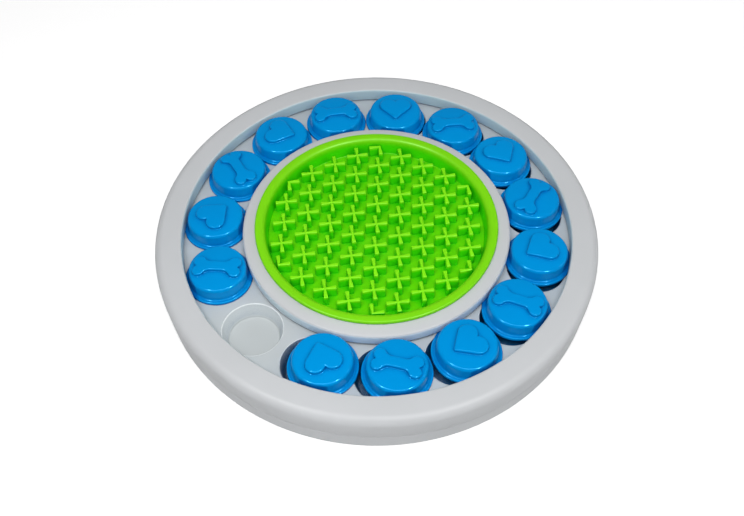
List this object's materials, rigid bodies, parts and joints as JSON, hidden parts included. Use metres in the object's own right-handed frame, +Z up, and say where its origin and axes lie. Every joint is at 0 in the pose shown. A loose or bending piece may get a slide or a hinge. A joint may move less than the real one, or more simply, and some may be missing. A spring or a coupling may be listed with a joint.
{
  "type": "dog puzzle feeder",
  "caption": "Round treat puzzle for dogs: flanged pucks slide in a ring-shaped track over treat cups, around a lift-out lick mat with raised crosses.",
  "frame": {"origin": "on the table, under the centre of the round tray, level with the undersides of the rubber feet", "axes": "+Z up out of the tray; X and Y lie in the table, and the empty cup is at -X, -Y"},
  "size_m": [0.28, 0.28, 0.0337],
  "materials": {
    "tray_plastic": "light grey, satin",
    "puck_plastic": "blue, half gloss",
    "mat_rubber": "lime green soft rubber, satin",
    "foot_rubber": "dark grey, matte",
    "screw_steel": "plain zinc-plated steel"
  },
  "bodies": {
    "tray": {"base_tray": "tray_plastic", "cup_deck": "tray_plastic", "treat_cups": "tray_plastic", "deck_ribs": "tray_plastic", "ring_collar": "tray_plastic", "rim_cover": "tray_plastic", "centre_ring": "tray_plastic", "rim_screws": "screw_steel", "ring_screws": "screw_steel", "rubber_foot_1": "foot_rubber", "rubber_foot_2": "foot_rubber", "rubber_foot_3": "foot_rubber", "rubber_foot_4": "foot_rubber", "rubber_foot_5": "foot_rubber", "rubber_foot_6": "foot_rubber"},
    "lick_mat": {"lick_mat": "mat_rubber", "licking_crosses": "mat_rubber"},
    "puck_01": {"puck_01_heart": "puck_plastic"},
    "puck_02": {"puck_02_bone": "puck_plastic"},
    "puck_03": {"puck_03_heart": "puck_plastic"},
    "puck_04": {"puck_04_bone": "puck_plastic"},
    "puck_05": {"puck_05_heart": "puck_plastic"},
    "puck_06": {"puck_06_bone": "puck_plastic"},
    "puck_07": {"puck_07_heart": "puck_plastic"},
    "puck_08": {"puck_08_bone": "puck_plastic"},
    "puck_09": {"puck_09_heart": "puck_plastic"},
    "puck_10": {"puck_10_bone": "puck_plastic"},
    "puck_11": {"puck_11_heart": "puck_plastic"},
    "puck_12": {"puck_12_bone": "puck_plastic"},
    "puck_13": {"puck_13_heart": "puck_plastic"},
    "puck_14": {"puck_14_bone": "puck_plastic"}
  },
  "joints": [
    {"name": "lick_mat_lift", "type": "slide", "parent": "tray", "child": "lick_mat", "axis": [0, 0, 1], "range_m": [0, 0.05]},
    {"name": "puck_02_slide", "type": "hinge", "parent": "tray", "child": "puck_02", "pos_m": [0, 0, 0.0252], "axis": [0, 0, 1], "continuous": true},
    {"name": "puck_03_slide", "type": "hinge", "parent": "tray", "child": "puck_03", "pos_m": [0, 0, 0.0252], "axis": [0, 0, 1], "continuous": true},
    {"name": "puck_04_slide", "type": "hinge", "parent": "tray", "child": "puck_04", "pos_m": [0, 0, 0.0252], "axis": [0, 0, 1], "continuous": true},
    {"name": "puck_05_slide", "type": "hinge", "parent": "tray", "child": "puck_05", "pos_m": [0, 0, 0.0252], "axis": [0, 0, 1], "continuous": true},
    {"name": "puck_06_slide", "type": "hinge", "parent": "tray", "child": "puck_06", "pos_m": [0, 0, 0.0252], "axis": [0, 0, 1], "continuous": true},
    {"name": "puck_07_slide", "type": "hinge", "parent": "tray", "child": "puck_07", "pos_m": [0, 0, 0.0252], "axis": [0, 0, 1], "continuous": true},
    {"name": "puck_08_slide", "type": "hinge", "parent": "tray", "child": "puck_08", "pos_m": [0, 0, 0.0252], "axis": [0, 0, 1], "continuous": true},
    {"name": "puck_09_slide", "type": "hinge", "parent": "tray", "child": "puck_09", "pos_m": [0, 0, 0.0252], "axis": [0, 0, 1], "continuous": true},
    {"name": "puck_10_slide", "type": "hinge", "parent": "tray", "child": "puck_10", "pos_m": [0, 0, 0.0252], "axis": [0, 0, 1], "continuous": true},
    {"name": "puck_11_slide", "type": "hinge", "parent": "tray", "child": "puck_11", "pos_m": [0, 0, 0.0252], "axis": [0, 0, 1], "continuous": true},
    {"name": "puck_12_slide", "type": "hinge", "parent": "tray", "child": "puck_12", "pos_m": [0, 0, 0.0252], "axis": [0, 0, 1], "continuous": true},
    {"name": "puck_13_slide", "type": "hinge", "parent": "tray", "child": "puck_13", "pos_m": [0, 0, 0.0252], "axis": [0, 0, 1], "continuous": true},
    {"name": "puck_14_slide", "type": "hinge", "parent": "tray", "child": "puck_14", "pos_m": [0, 0, 0.0252], "axis": [0, 0, 1], "continuous": true},
    {"name": "puck_01_slide", "type": "hinge", "parent": "puck_02", "child": "puck_01", "pos_m": [0, 0, 0.0252], "axis": [0, 0, 1], "range_deg": [-29.3, 0.4]}
  ],
  "couplings": [
    {"joint": "puck_03_slide", "follows": "puck_02_slide", "ratio": 1},
    {"joint": "puck_04_slide", "follows": "puck_02_slide", "ratio": 1},
    {"joint": "puck_05_slide", "follows": "puck_02_slide", "ratio": 1},
    {"joint": "puck_06_slide", "follows": "puck_02_slide", "ratio": 1},
    {"joint": "puck_07_slide", "follows": "puck_02_slide", "ratio": 1},
    {"joint": "puck_08_slide", "follows": "puck_02_slide", "ratio": 1},
    {"joint": "puck_09_slide", "follows": "puck_02_slide", "ratio": 1},
    {"joint": "puck_10_slide", "follows": "puck_02_slide", "ratio": 1},
    {"joint": "puck_11_slide", "follows": "puck_02_slide", "ratio": 1},
    {"joint": "puck_12_slide", "follows": "puck_02_slide", "ratio": 1},
    {"joint": "puck_13_slide", "follows": "puck_02_slide", "ratio": 1},
    {"joint": "puck_14_slide", "follows": "puck_02_slide", "ratio": 1}
  ]
}
